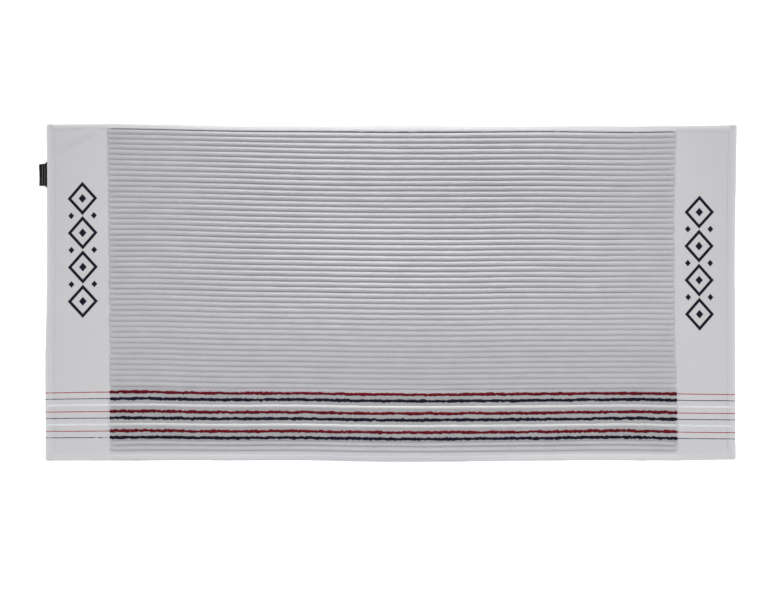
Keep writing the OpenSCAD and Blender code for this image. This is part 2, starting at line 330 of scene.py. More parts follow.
class Nodes:
    """Short names for building a node tree."""

    def __init__(self, name):
        self.mat = bpy.data.materials.new(name)
        self.mat.use_nodes = True
        self.t = self.mat.node_tree
        self.t.nodes.clear()
        self.out = self.t.nodes.new("ShaderNodeOutputMaterial")
        self.bsdf = self.t.nodes.new("ShaderNodeBsdfPrincipled")
        self.link(self.bsdf.outputs[0], self.out.inputs[0])
        self.uv = self.t.nodes.new("ShaderNodeUVMap")
        self.uv.uv_map = "cloth"

    def link(self, a, b):
        self.t.links.new(a, b)

    def put(self, socket, value):
        if isinstance(value, bpy.types.NodeSocket):
            self.link(value, socket)
        else:
            socket.default_value = value

    def scale(self, sx, sy, angle=0.0, vector=None):
        n = self.t.nodes.new("ShaderNodeMapping")
        n.inputs["Scale"].default_value = (sx, sy, 1)
        n.inputs["Rotation"].default_value = (0, 0, angle)
        self.link(vector or self.uv.outputs[0], n.inputs[0])
        return n.outputs[0]

    def noise(self, vector, scale, detail=3.0, rough=0.55):
        n = self.t.nodes.new("ShaderNodeTexNoise")
        n.noise_dimensions = "2D"
        n.inputs["Scale"].default_value = scale
        n.inputs["Detail"].default_value = detail
        n.inputs["Roughness"].default_value = rough
        self.link(vector, n.inputs["Vector"])
        return n.outputs[0]

    def voronoi(self, vector, scale, randomness=0.8):
        n = self.t.nodes.new("ShaderNodeTexVoronoi")
        n.voronoi_dimensions = "2D"
        n.feature = "F1"
        n.inputs["Scale"].default_value = scale
        n.inputs["Randomness"].default_value = randomness
        self.link(vector, n.inputs["Vector"])
        return n.outputs["Distance"]

    def wave(self, vector, scale, direction="X", distortion=0.0, detail_scale=1.0):
        n = self.t.nodes.new("ShaderNodeTexWave")
        n.wave_type = "BANDS"
        n.bands_direction = direction
        n.wave_profile = "SIN"
        n.inputs["Scale"].default_value = scale
        n.inputs["Distortion"].default_value = distortion
        n.inputs["Detail Scale"].default_value = detail_scale
        self.link(vector, n.inputs["Vector"])
        return n.outputs["Fac"]

    def math(self, op, a, b=None, c=None, clamp=False):
        n = self.t.nodes.new("ShaderNodeMath")
        n.operation = op
        n.use_clamp = clamp
        self.put(n.inputs[0], a)
        if b is not None:
            self.put(n.inputs[1], b)
        if c is not None:
            self.put(n.inputs[2], c)
        return n.outputs[0]

    def span(self, value, lo, hi, to_lo=0.0, to_hi=1.0):
        n = self.t.nodes.new("ShaderNodeMapRange")
        n.inputs["From Min"].default_value = lo
        n.inputs["From Max"].default_value = hi
        n.inputs["To Min"].default_value = to_lo
        n.inputs["To Max"].default_value = to_hi
        self.link(value, n.inputs["Value"])
        return n.outputs["Result"]

    def mix(self, fac, a, b):
        n = self.t.nodes.new("ShaderNodeMix")
        n.data_type = "RGBA"
        self.put(n.inputs[0], fac)
        for socket, value in ((n.inputs[6], a), (n.inputs[7], b)):
            if isinstance(value, bpy.types.NodeSocket):
                self.link(value, socket)
            else:
                socket.default_value = (*value, 1.0)
        return n.outputs[2]

    def split(self, vector=None):
        n = self.t.nodes.new("ShaderNodeSeparateXYZ")
        self.link(vector or self.uv.outputs[0], n.inputs[0])
        return n.outputs

    def bump(self, height, distance, strength=1.0, normal=None):
        n = self.t.nodes.new("ShaderNodeBump")
        n.inputs["Strength"].default_value = strength
        n.inputs["Distance"].default_value = distance
        self.link(height, n.inputs["Height"])
        if normal is not None:
            self.link(normal, n.inputs["Normal"])
        return n.outputs[0]

    def finish(self, color, normal=None, roughness=0.9, sheen=0.15, sheen_tint=(1, 1, 1), specular=0.25):
        b = self.bsdf
        self.put(b.inputs["Base Color"], color)
        self.put(b.inputs["Roughness"], roughness)
        b.inputs["Specular IOR Level"].default_value = specular
        b.inputs["Sheen Weight"].default_value = sheen
        b.inputs["Sheen Roughness"].default_value = 0.5
        b.inputs["Sheen Tint"].default_value = (*sheen_tint, 1.0)
        if normal is not None:
            self.link(normal, b.inputs["Normal"])
        return self.mat


def shade_of(color, k):
    return tuple(min(1.0, c * k) for c in color)


GREY = (0.4448, 0.4375, 0.4538)  # the flat bands' cotton
PILE = (0.4086, 0.4023, 0.4222)
WHITE = (0.4746, 0.4864, 0.4909)
RED = (0.0759, 0.0018, 0.0052)
NAVY = (0.005, 0.0029, 0.0099)


def weave_material(name, color, pitch=0.62, depth=0.00010, fuzz=0.04, sheen=0.12, edge=None):
    """Flat plain weave: yarns over and under, with slubs and soft fuzz."""
    n = Nodes(name)
    k = 1000.0 / pitch / 2.0  # wave texture has a period of 1 / (scale * 2) here after scaling below
    wu = n.wave(n.scale(k / math.pi * 2, 1), math.pi / 2 / 1.0, "X", 0.0)
    wv = n.wave(n.scale(1, k / math.pi * 2), math.pi / 2 / 1.0, "Y", 0.0)
    over = n.math("MULTIPLY", wu, wv)
    under = n.math("MULTIPLY", n.math("SUBTRACT", 1.0, wu), n.math("SUBTRACT", 1.0, wv))
    cloth = n.math("MAXIMUM", over, under)
    slub_u = n.noise(n.scale(60, 1400), 1.0, 2.0)
    slub_v = n.noise(n.scale(1400, 60), 1.0, 2.0)
    slub = n.math("ADD", slub_u, slub_v)
    big = n.noise(n.scale(9, 11), 1.0, 4.0)
    fine = n.noise(n.scale(900, 900), 1.0, 3.0)
    height = n.math("ADD", n.math("MULTIPLY", cloth, 0.7), n.math("MULTIPLY", slub, 0.35))
    height = n.math("ADD", height, n.math("MULTIPLY", fine, 0.3))
    tone = n.math("ADD", n.math("MULTIPLY", slub, 0.5), n.math("MULTIPLY", fine, 0.3))
    tone = n.math("ADD", tone, n.math("MULTIPLY", big, 0.5))
    fac = n.span(tone, 0.45, 1.15)
    col = n.mix(fac, shade_of(color, 1 - fuzz), shade_of(color, 1 + fuzz))
    # painted light: with an edge colour given, the colour is mixed towards it by the per-vertex shading attribute, the
    # painted highlight along a hem's folded edge and the painted light and shade beside the pile
    if edge is not None:
        painted_shading = n.t.nodes.new("ShaderNodeAttribute")
        painted_shading.attribute_name = "painted_shading"
        col = n.mix(painted_shading.outputs["Fac"], col, edge)
    rough = n.span(fine, 0.3, 0.7, 0.86, 0.96)
    return n.finish(col, n.bump(height, depth), rough, sheen, specular=0.2)


def pile_material(name, color, tip, cell=1.25, depth=0.0005, sheen=0.25, sheen_tint=(1, 1, 1), vary=0.06, painted_groove_shade=None):
    """Looped or cut pile: small rounded tufts with fibres between them."""
    n = Nodes(name)
    k = 1000.0 / cell
    warped = n.t.nodes.new("ShaderNodeVectorMath")
    warped.operation = "ADD"
    wob = n.t.nodes.new("ShaderNodeTexNoise")
    wob.noise_dimensions = "2D"
    wob.inputs["Scale"].default_value = 420.0
    wob.inputs["Detail"].default_value = 2.0
    n.link(n.uv.outputs[0], wob.inputs["Vector"])
    shift = n.t.nodes.new("ShaderNodeVectorMath")
    shift.operation = "SCALE"
    shift.inputs["Scale"].default_value = 0.0011
    n.link(wob.outputs["Color"], shift.inputs[0])
    n.link(n.uv.outputs[0], warped.inputs[0])
    n.link(shift.outputs[0], warped.inputs[1])
    cells = n.voronoi(n.scale(k, k * 1.15, 0.0, warped.outputs[0]), 1.0, 0.85)
    tuft = n.span(cells, 0.0, 0.75, 1.0, 0.0)
    fibre = n.noise(n.scale(2600, 2600), 1.0, 4.0, 0.6)
    big = n.noise(n.scale(26, 60), 1.0, 4.0)
    height = n.math("ADD", n.math("MULTIPLY", tuft, 0.8), n.math("MULTIPLY", fibre, 0.35))
    tone = n.math("ADD", n.math("MULTIPLY", tuft, 0.55), n.math("MULTIPLY", fibre, 0.5))
    col = n.mix(n.span(tone, 0.2, 0.95), color, tip)
    col = n.mix(n.span(big, 0.3, 0.7, 0.0, 1.0), shade_and(n, col, 1 - vary), col)
    # painted shade: with a groove shade given, the colour is darkened where the per-vertex shading attribute is low,
    # standing in for the shade in the pile's grooves
    if painted_groove_shade is not None:
        painted_shading = n.t.nodes.new("ShaderNodeAttribute")
        painted_shading.attribute_name = "painted_shading"
        col = n.mix(n.span(painted_shading.outputs["Fac"], 0.1, 1.0), shade_and(n, col, painted_groove_shade), col)
    rough = n.span(fibre, 0.3, 0.7, 0.88, 1.0)
    return n.finish(col, n.bump(height, depth), rough, sheen, sheen_tint, specular=0.12)


def shade_and(n, col, k):
    """col darkened by k inside the node tree."""
    m = n.t.nodes.new("ShaderNodeMix")
    m.data_type = "RGBA"
    m.blend_type = "MULTIPLY"
    m.inputs[0].default_value = 1.0
    n.link(col, m.inputs[6])
    m.inputs[7].default_value = (k, k, k, 1.0)
    return m.outputs[2]


def thread_material(name, color, pitch=0.45, depth=0.00008, angle=0.6, sheen=0.2, rough=0.6, specular=0.3):
    """Twisted yarn: fine slanted strands."""
    n = Nodes(name)
    k = 1000.0 / pitch
    strands = n.wave(n.scale(k / math.pi, k / math.pi, angle), math.pi / 2, "X", 0.6, 2.0)
    fine = n.noise(n.scale(1800, 1800), 1.0, 3.0)
    big = n.noise(n.scale(40, 40), 1.0, 3.0)
    height = n.math("ADD", n.math("MULTIPLY", strands, 0.7), n.math("MULTIPLY", fine, 0.3))
    tone = n.math("ADD", n.math("MULTIPLY", strands, 0.5), n.math("MULTIPLY", fine, 0.5))
    tone = n.math("ADD", tone, n.math("MULTIPLY", big, 0.3))
    col = n.mix(n.span(tone, 0.3, 1.0), shade_of(color, 0.84), shade_of(color, 1.12))
    r = n.span(fine, 0.3, 0.7, rough, rough + 0.15)
    return n.finish(col, n.bump(height, depth), r, sheen, specular=specular)


def back_material(name, color):
    """The towel's back: low looped terry in the ribs' own pitch, with painted shade in its recesses and the coloured
    rows showing through.
    """
    n = Nodes(name)
    u, v, _ = n.split()
    cells = n.voronoi(n.scale(620, 560), 1.0, 0.8)
    tuft = n.span(cells, 0.0, 0.75, 1.0, 0.0)
    fibre = n.noise(n.scale(2200, 2200), 1.0, 3.0)
    big = n.noise(n.scale(20, 34), 1.0, 4.0)
    tone = n.math("ADD", n.math("MULTIPLY", tuft, 0.5), n.math("MULTIPLY", fibre, 0.4))
    tone = n.math("ADD", tone, n.math("MULTIPLY", big, 0.35))
    col = n.mix(n.span(tone, 0.3, 1.05), shade_of(color, 0.9), shade_of(color, 1.06))
    # painted shade: the colour is darkened where the per-vertex shading attribute is low, in the recesses between the
    # back's low ribs
    painted_shading = n.t.nodes.new("ShaderNodeAttribute")
    painted_shading.attribute_name = "painted_shading"
    col = n.mix(n.span(painted_shading.outputs["Fac"], 0.0, 1.0), shade_and(n, col, 0.66), col)
    dash = n.noise(n.scale(520, 90), 1.0, 2.0)
    for ys, tint, half in ((RED_Y, RED, 0.0007), (NAVY_Y, NAVY, 0.0007), (WHITE_Y, WHITE, 0.0019)):
        for y in ys:
            d = n.math("ABSOLUTE", n.math("SUBTRACT", v, y * 0.001))
            line = n.span(d, half, half * 1.7, 1.0, 0.0)
            seen = n.span(dash, 0.30, 0.62, 0.35, 0.95)
            col = n.mix(n.math("MULTIPLY", line, seen), col, tint)
    height = n.math("ADD", n.math("MULTIPLY", tuft, 0.8), n.math("MULTIPLY", fibre, 0.3))
    return n.finish(col, n.bump(height, 0.00035), 0.95, 0.15, specular=0.15)


MAT_WEAVE = weave_material("flat_weave", GREY)
# hem cloth: its colour is painted between a darker grey and its edge colour, for painted shade and the painted
# highlight along its folded edge
MAT_HEM = weave_material("hem_weave", (0.38, 0.3735, 0.3936), depth=0.00012, edge=(0.5605, 0.556, 0.5695))
MAT_BACK = back_material("terry_back", (0.452, 0.4412, 0.4565))
# painted shade: how dark the pile's colour is painted in its grooves
PAINTED_GROOVE_SHADE = 0.25
MAT_PILE = pile_material("ribbed_terry", shade_of(PILE, 0.975), shade_of(PILE, 1.145), painted_groove_shade=PAINTED_GROOVE_SHADE)
MAT_WHITE = pile_material("white_pile", shade_of(WHITE, 0.94), shade_of(WHITE, 1.05), cell=0.9, depth=0.00025, vary=0.03)
MAT_RED = pile_material("red_cut_pile", RED, (0.1356, 0.0034, 0.0104), cell=1.0, depth=0.0004, sheen=0.03, sheen_tint=(0.8, 0.15, 0.15), vary=0.25)
MAT_NAVY = pile_material("navy_cut_pile", NAVY, (0.0099, 0.0065, 0.019), cell=1.0, depth=0.0004, sheen=0.02, sheen_tint=(0.3, 0.3, 0.6), vary=0.25)
MAT_THREAD = thread_material("hem_thread", (0.5605, 0.5514, 0.5605))
MAT_RED_YARN = thread_material("red_yarn", (0.2712, 0.0271, 0.0253), pitch=0.9)
MAT_NAVY_YARN = thread_material("navy_yarn", (0.038, 0.0362, 0.0633), pitch=0.9)
MAT_WHITE_YARN = thread_material("white_yarn", (0.5424, 0.5532, 0.5605), pitch=0.9, angle=0.0)
MAT_MOTIF = thread_material("motif_thread", (0.0054, 0.0056, 0.0136), pitch=0.5, depth=0.00006, angle=0.75, sheen=0.0, rough=0.8, specular=0.12)
MAT_LABEL = thread_material("label_ribbon", (0.0041, 0.0041, 0.005), pitch=0.5, depth=0.00008, angle=0.0, sheen=0.0, rough=0.6, specular=0.12)
MAT_LABEL_LINE = thread_material("label_line", (0.1175, 0.1175, 0.122), pitch=0.5, angle=0.3)

# ---------------------------------------------------------------------------
# The cloth itself: one woven web from hem to hem, pile side up
# ---------------------------------------------------------------------------

EDGE_IN = 0.9


def cloth_lines(lo, hi, step, marks=()):
    base = np.linspace(lo, hi, int(round((hi - lo) / step)) + 1)
    return np.unique(np.round(np.concatenate([base, np.array(marks, float)]), 4))


def make_cloth():
    x0, x1 = -HX + EDGE_IN, HX - EDGE_IN
    y0, y1 = -HY + EDGE_IN, HY - EDGE_IN
    xs = stations(x0, x1, 6.4, 0.9, 6.3)
    xs = np.unique(np.concatenate([xs, [-FX, FX, -FX - 3, FX + 3]]))
    ys = cloth_lines(y0, y1, PITCH / 3.0)
    nu, nv = len(xs), len(ys)
    X, Y = np.meshgrid(xs, ys, indexing="ij")
    # back face: low ribs in step with the front's, fading out on the bands
    in_field = smooth((FX - np.abs(X)) / 4.0)
    in_ribs = smooth((Y - ROWS_TOP) / 4.0) + smooth((LOW_TOP - Y) / 4.0)
    hem = np.minimum(
        smooth((HY - TOP_HEM - Y) / 3.0), smooth((Y + HY - BOTTOM_HEM) / 3.0)
    )
    wave = 0.5 + 0.5 * np.cos(2 * np.pi * (FY1 - Y) / PITCH)
    wave = wave * in_field * np.clip(in_ribs, 0, 1) * hem
    Zb = 0.05 + 0.42 * wave
    Zb += 0.05 * noise(X, Y, 7.0, 5.0, 41) * in_field + 0.05
    # front face: level with the band, lower under the pile and where a hem lies on it
    inner = np.minimum.reduce(
        [
            smooth((HX - END_HEM + 0.4 - np.abs(X)) / 1.5 + 1),
            smooth((HY - TOP_HEM + 0.4 - Y) / 1.5 + 1),
            smooth((Y + HY - BOTTOM_HEM + 0.4) / 1.5 + 1),
        ]
    )
    under_pile = smooth((FX - 1.5 - np.abs(X)) / 3.0) * smooth((Y - FY0) / 2.5) * smooth((FY1 - Y) / 2.5)
    Zt = 0.78 + (BAND_T - 0.2 * under_pile - 0.78) * inner
    Zt += 0.03 * noise(X, Y, 9.0, 9.0, 43) * inner * (1 - under_pile)
    rim = np.zeros_like(Zb)
    rim[0, :] = rim[-1, :] = 1
    rim[:, 0] = rim[:, -1] = 1
    Zb = np.where(rim > 0, 0.25, Zb)
    Zt = np.where(rim > 0, 0.62, Zt)
    P = np.concatenate(
        [
            np.stack([X, Y, Zt], -1).reshape(-1, 3),
            np.stack([X, Y, Zb], -1).reshape(-1, 3),
        ]
    )
    n = nu * nv
    top = grid_faces(nu, nv)
    bottom = grid_faces(nu, nv, n, flip=True)
    side = []
    ring = (
        [i * nv for i in range(nu)]
        + [(nu - 1) * nv + j for j in range(1, nv)]
        + [i * nv + nv - 1 for i in range(nu - 2, -1, -1)]
        + [j for j in range(nv - 2, 0, -1)]
    )
    for a, b in zip(ring, ring[1:] + ring[:1]):
        side.append((a, n + a, n + b, b))
    side = np.array(side)
    # the pile field's back has its own look
    cx = X.ravel()
    quad_x = np.abs(cx[grid_faces(nu, nv)]).mean(1)
    quad_y = Y.ravel()[grid_faces(nu, nv)].mean(1)
    field = (quad_x < FX - 1) & (quad_y < FY1) & (quad_y > FY0)
    mats = np.concatenate(
        [np.zeros(len(top)), np.where(field, 1, 0), np.zeros(len(side))]
    )
    ob = make_object(
        "woven_cloth",
        P,
        [top, bottom, side],
        materials=(MAT_WEAVE, MAT_BACK),
        face_material=mats,
    )
    # painted shade on the back, darkest in the recesses between its low ribs; the front face gets none
    shade_by(ob, np.concatenate([np.ones(n), (1 - wave).ravel()]))
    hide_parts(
        "ground_cloth_left",
        "ground_cloth_right",
        "end_band_left",
        "end_band_right",
    )
    across_fold(ob)
    return ob


# ---------------------------------------------------------------------------
# The ribbed pile: a height field of terry, closed underneath
# ---------------------------------------------------------------------------

END_FADE = 3.0


def pile_height(X, Y):
    """Height of the pile's surface, ribs and the short pile of the coloured zone, and its painted light and shade."""
    wander = 0.16 * noise(X, Y, 26.0, 9.0, 11) + 0.07 * noise(X, Y, 6.0, 4.0, 12)
    # ribs above the coloured rows
    k = (FY1 - np.minimum(Y + wander, FY1 - 0.02)) / PITCH
    low = (LOW_TOP - (Y + wander)) / LOW_PITCH
    in_top = Y > ROWS_TOP
    in_low = Y < LOW_TOP
    phase = np.where(in_top, k, low)
    s = phase - np.floor(phase)  # 0 and 1 in a groove, 0.5 on a rib's top
    # a rounded ridge that leans slightly towards the coloured side
    c = np.abs(2 * s - 1)
    groove_no = np.round(phase)
    close = 0.5 + 0.5 * noise(X, groove_no * 17.0 + 500, 62.0, 1.0, 19)
    close = close * 0.6 + 0.4 * (0.5 + 0.5 * noise(X, groove_no * 5.0, 21.0, 1.0, 20))
    ridge = np.cos(np.minimum(c / (0.95 + 0.05 * close), 1) * np.pi / 2) ** (0.98 - 0.22 * close)
    rib_no = np.floor(phase) + np.where(in_low, 100, 0)
    size = 1 + 0.06 * noise(X * 1.0, rib_no * 13.0, 34.0, 1.0, 17) + 0.05 * noise(X, rib_no * 7.0, 11.0, 1.0, 18)
    # ribs stand fullest in the middle and lie flatter towards the ends and the coloured rows
    middle = np.exp(-(((X - 25.0) / 250.0) ** 2))
    aside = smooth((np.abs(X - 15.0) - 200) / 200.0)
    relief = (1 - 0.30 * aside + 0.13 * smooth((X - 40) / 130.0)) * (1 + 0.06 * middle - 0.42 * np.exp(-((X / 170.0) ** 2)) * smooth((Y - 20) / 150.0))
    relief = relief + (0.36 - 0.20 * middle - relief) * smooth((35 - Y) / 110.0)
    H = (RIB_Z - GROOVE_FLOOR) * ridge * size * relief + 0.55 * (1 - relief)
    # the plain short pile between coloured rows
    plain = (~in_top) & (~in_low)
    H = np.where(plain, 0.42 + 0.10 * noise(X, Y, 4.0, 2.5, 21), H)
    loops = tufts(X, Y, 2.1, 1.7, 31, 0.8)
    nub = 0.30 * (loops - 0.45) + 0.10 * noise(X, Y, 1.3, 1.0, 33)
    amount = np.where(plain, 0.45, 0.30 + 0.75 * ridge)
    Z = GROOVE_FLOOR + H + nub * amount
    d_end = FX - np.abs(X) + 0.9 * noise(X * 0, rib_no * 11.0 + (X > 0), 1.0, 1.0, 37) + 0.5 * noise(X * 0, Y, 1.0, 2.1, 38)
    d_end = d_end + np.where(plain, 0, 1.1 * (ridge - 0.6))
    end = smooth(d_end / END_FADE) * (0.62 + 0.38 * smooth(d_end / 13.0))
    # painted shade in the grooves: how much of its colour the pile keeps there, least over the middle zone that full
    # marks, where the grooves are painted darkest; tuft tops are painted a little lighter
    full = middle * smooth((Y + 110) / 130.0)
    keep = 0.46 + 0.14 * aside - 0.22 * full * (0.5 + 0.5 * close) + 0.06 * smooth((-70 - Y) / 50.0) - 0.30 * in_low
    painted_shading = np.where(plain, 0.80, keep + (1 - keep) * ridge ** 0.8) + 0.18 * (loops - 0.5)
    # painted shade: the loops' colour is darkened towards the top and bottom of the middle, and painted a little
    # lighter towards the right, standing in for how the light falls
    tone = 0.45 + 0.55 * (painted_shading - 0.1) / 0.9
    tone = tone * (1 - 0.15 * middle * smooth((Y - 50) / 110.0) - in_top * (0.03 * smooth((-50 - Y) / 60.0) + 0.10 * middle * smooth((5 - Y) / 90.0)))
    tone = tone * (1 + 0.06 * smooth((X - 60) / 220.0) * (1 - 0.7 * smooth((-30 - Y) / 60.0))) / 1.06
    painted_shading = 0.1 + 0.9 * (tone - PAINTED_GROOVE_SHADE) / (1 - PAINTED_GROOVE_SHADE)
    # the gap beside the top hem is lowered and painted darkest of all, a painted shadow of the hem
    gap = smooth((Y - FY1 + 0.6 + 0.5 * middle) / 0.6)
    painted_shading = painted_shading * (1 - gap)
    Z = Z + (GROOVE_FLOOR - 0.1 - Z) * gap
    # towards the pile's ends the painted shade fades to almost none
    return BAND_T - 0.1 + (Z - BAND_T + 0.1) * end, painted_shading * end + (1 - end) * 0.98


def make_pile(name, y0, y1, ny, step=1.42):
    xs = stations(-FX, FX, step, 0.75, 7.5)
    ys = np.linspace(y0, y1, ny)
    nu, nv = len(xs), len(ys)
    X, Y = np.meshgrid(xs, ys, indexing="ij")
    Z, painted_shading = pile_height(X, np.clip(Y, y0 + 1e-4, y1 - 1e-4))
    top = np.stack([X, Y, Z], -1).reshape(-1, 3)
    low_a = np.stack([xs, np.full(nu, ys[0]), np.full(nu, 0.95)], -1)
    low_b = np.stack([xs, np.full(nu, ys[-1]), np.full(nu, 0.95)], -1)
    n = nu * nv
    P = np.concatenate([top, low_a, low_b])
    i = np.arange(nu - 1)
    side_a = np.stack([i * nv, n + i, n + i + 1, (i + 1) * nv], -1)
    side_b = np.stack(
        [i * nv + nv - 1, (i + 1) * nv + nv - 1, n + nu + i + 1, n + nu + i], -1
    )
    under = np.stack([n + i, n + nu + i, n + nu + i + 1, n + i + 1], -1)
    end_l = np.array([[n] + [j for j in range(nv)] + [n + nu]])
    end_r = np.array(
        [[n + nu + nu - 1] + [(nu - 1) * nv + j for j in range(nv - 1, -1, -1)] + [n + nu - 1]]
    )
    ob = make_object(
        name,
        P,
        [grid_faces(nu, nv), side_a, side_b, under, end_l, end_r],
        materials=(MAT_PILE,),
    )
    shade_by(ob, np.concatenate([painted_shading.ravel(), np.zeros(2 * nu)]))
    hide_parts("ribbed_pile_left", "ribbed_pile_right")
    across_fold(ob)
    return ob


# ---------------------------------------------------------------------------
# Coloured and white rows
# ---------------------------------------------------------------------------


def make_row(name, y, width, height, material, nodes, seed, fuzz=1.0, step=0.5, around=18):
    """A row of pile: a closed lumpy ridge that follows the cloth."""
    xs = stations(-FX + 0.4, FX - 0.2, step, 0.6, 7.5)
    nu, nv = len(xs), around
    a = np.linspace(0, 2 * np.pi, nv, endpoint=False)
    # section: a dome on a flat foot
    cy, cz = np.cos(a), np.sin(a)
    X, A = np.meshgrid(xs, a, indexing="ij")
    CY, CZ = np.meshgrid(xs * 0, cy, indexing="ij")[1], np.meshgrid(xs * 0, cz, indexing="ij")[1]
    side = np.sign(CY)
    edge = (
        0.13 * noise(X, side * 50, 13.0, 1.0, seed)
        + 0.26 * noise(X, side * 50, 4.4, 1.0, seed + 1)
        + 0.40 * noise(X, side * 50, 1.9, 1.0, seed + 2)
    )
    half = width / 2 * (1 + fuzz * edge * np.abs(CY))
    mid = 0.28 * fuzz * noise(X, 0, 21.0, 1.0, seed + 3) + 0.22 * fuzz * noise(X, 0, 6.5, 1.0, seed + 4)
    yy = CY * half
    foot, dome = GROOVE_FLOOR - 0.25, height
    zz = np.where(CZ > 0, foot + (dome - foot) * np.abs(CZ) ** 0.8, foot - 0.25 * np.abs(CZ))
    lump = tufts(X, A * 1.75 + 400 + seed, 1.25, 1.15, seed + 9, 0.9) - 0.45
    small = tufts(X, A * 1.75 + 900 + seed, 0.95, 0.75, seed + 13, 0.9) - 0.45
    grow = fuzz * (0.52 * lump + 0.26 * small + 0.12 * noise(X, A * 1.4, 0.8, 0.5, seed + 5))
    up = CZ > -0.2
    yy = yy + np.where(up, CY * grow, 0)
    zz = zz + np.where(up, np.clip(CZ, 0.15, 1) * grow, 0)
    zz = zz * 1.0 + np.where(up, 0.10 * fuzz * noise(X, 0, 9.0, 1.0, seed + 6), 0)
    ends = np.minimum(smooth((X + FX) / 1.6 + 0.25), smooth((FX - X) / 1.6 + 0.25))
    yy *= 0.55 + 0.45 * ends
    zz = foot + (zz - foot) * ends
    P = np.stack([X, y + mid + yy, zz], -1).reshape(-1, 3)
    caps = [
        np.arange(nv)[None, ::1],
        (nu - 1) * nv + np.arange(nv)[None, ::-1],
    ]
    uv = np.stack([X, y + CY * width * 0.5 + CZ * width * 0.35], -1).reshape(-1, 2) * 0.001
    ob = make_object(
        name,
        P,
        [grid_faces(nu, nv, wrap_v=True, flip=True), caps[0], caps[1]],
        uv=uv,
        materials=(material,),
    )
    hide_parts(*nodes)
    across_fold(ob)
    return ob


# ---------------------------------------------------------------------------
# Hems: the cloth turned over on itself and sewn
# ---------------------------------------------------------------------------

SEAM_IN = 1.8


def hem_top(w, width, full=0.0):
    """Height of a hem's face, w in from its folded edge: a low roll pressed flat, fuller (full = 1) where it meets the pile."""
    at = (0.0, 0.3, 1.0, 2.2, width * 0.5, width - 2.8, width - SEAM_IN, width - 0.9, width - 0.35, width + 0.1, width + 1.6, width + 3.4)
    flat = np.interp(w, at, (1.10, 1.50, 1.76, 1.86, 1.80, 1.69, 1.61, 1.54, 1.49, 1.43, 1.31, 1.20))
    tall = np.interp(w, at, (1.15, 1.62, 1.98, 2.28, 2.52, 2.55, 2.44, 2.46, 2.30, 1.90, 1.20, 1.20))
    return flat + (tall - flat) * full


def hem_profile(width):
    """Distances in from the edge round a hem: its face from the inner edge to the fold (count, then), the fold, and underneath."""
    face = [width + 3.4, width + 2.4, width + 1.3, width + 0.5, width + 0.1, width - 0.12, width - 0.35, width - 0.9]
    face += list(np.linspace(width - SEAM_IN, 1.6, 10)) + [1.0, 0.42]
    under = [(0.08, 1.30), (0.0, 0.95), (0.10, 0.55), (0.42, 0.22), (0.95, 0.06), (1.5, 0.32), (1.9, 0.62), (width - 1.0, 0.9)]
    return np.array(face), under


def hem_shape(S, W, Z, width, seed):
    """Puckers and slanting ripples of a sewn hem. S runs along it, W in from the edge."""
    top = smooth((Z - 1.25) / 0.3)
    seam = np.exp(-(((W - (width - SEAM_IN)) / 0.7) ** 2))
    pucker = 0.5 + 0.5 * np.cos(2 * np.pi * S / 3.3)
    dz = -0.13 * seam * (0.3 + 0.7 * pucker)
    crown = np.clip(1 - ((W - width * 0.42) / (width * 0.5)) ** 2, 0, 1)
    dz += 0.13 * crown
    rope = np.sin(2 * np.pi * (S + 1.5 * W) / 9.5 + 1.7 * noise(S, 0, 40.0, 1.0, seed))
    dz += 0.085 * rope * crown * (0.6 + 0.4 * noise(S, 0, 23.0, 1.0, seed + 1))
    dz += 0.10 * noise(S, W, 15.0, 8.0, seed + 2) * crown
    edge = np.exp(-((W / 1.6) ** 2))
    dw = edge * (0.16 * noise(S, 0, 13.0, 1.0, seed + 3) + 0.10 * noise(S, 0, 4.1, 1.0, seed + 4))
    inner = np.exp(-(((W - width) / 0.9) ** 2))
    dw += inner * (0.10 * noise(S, 0, 6.0, 1.0, seed + 5) + 0.05 * np.cos(2 * np.pi * S / 3.3))
    return dz * top, dw


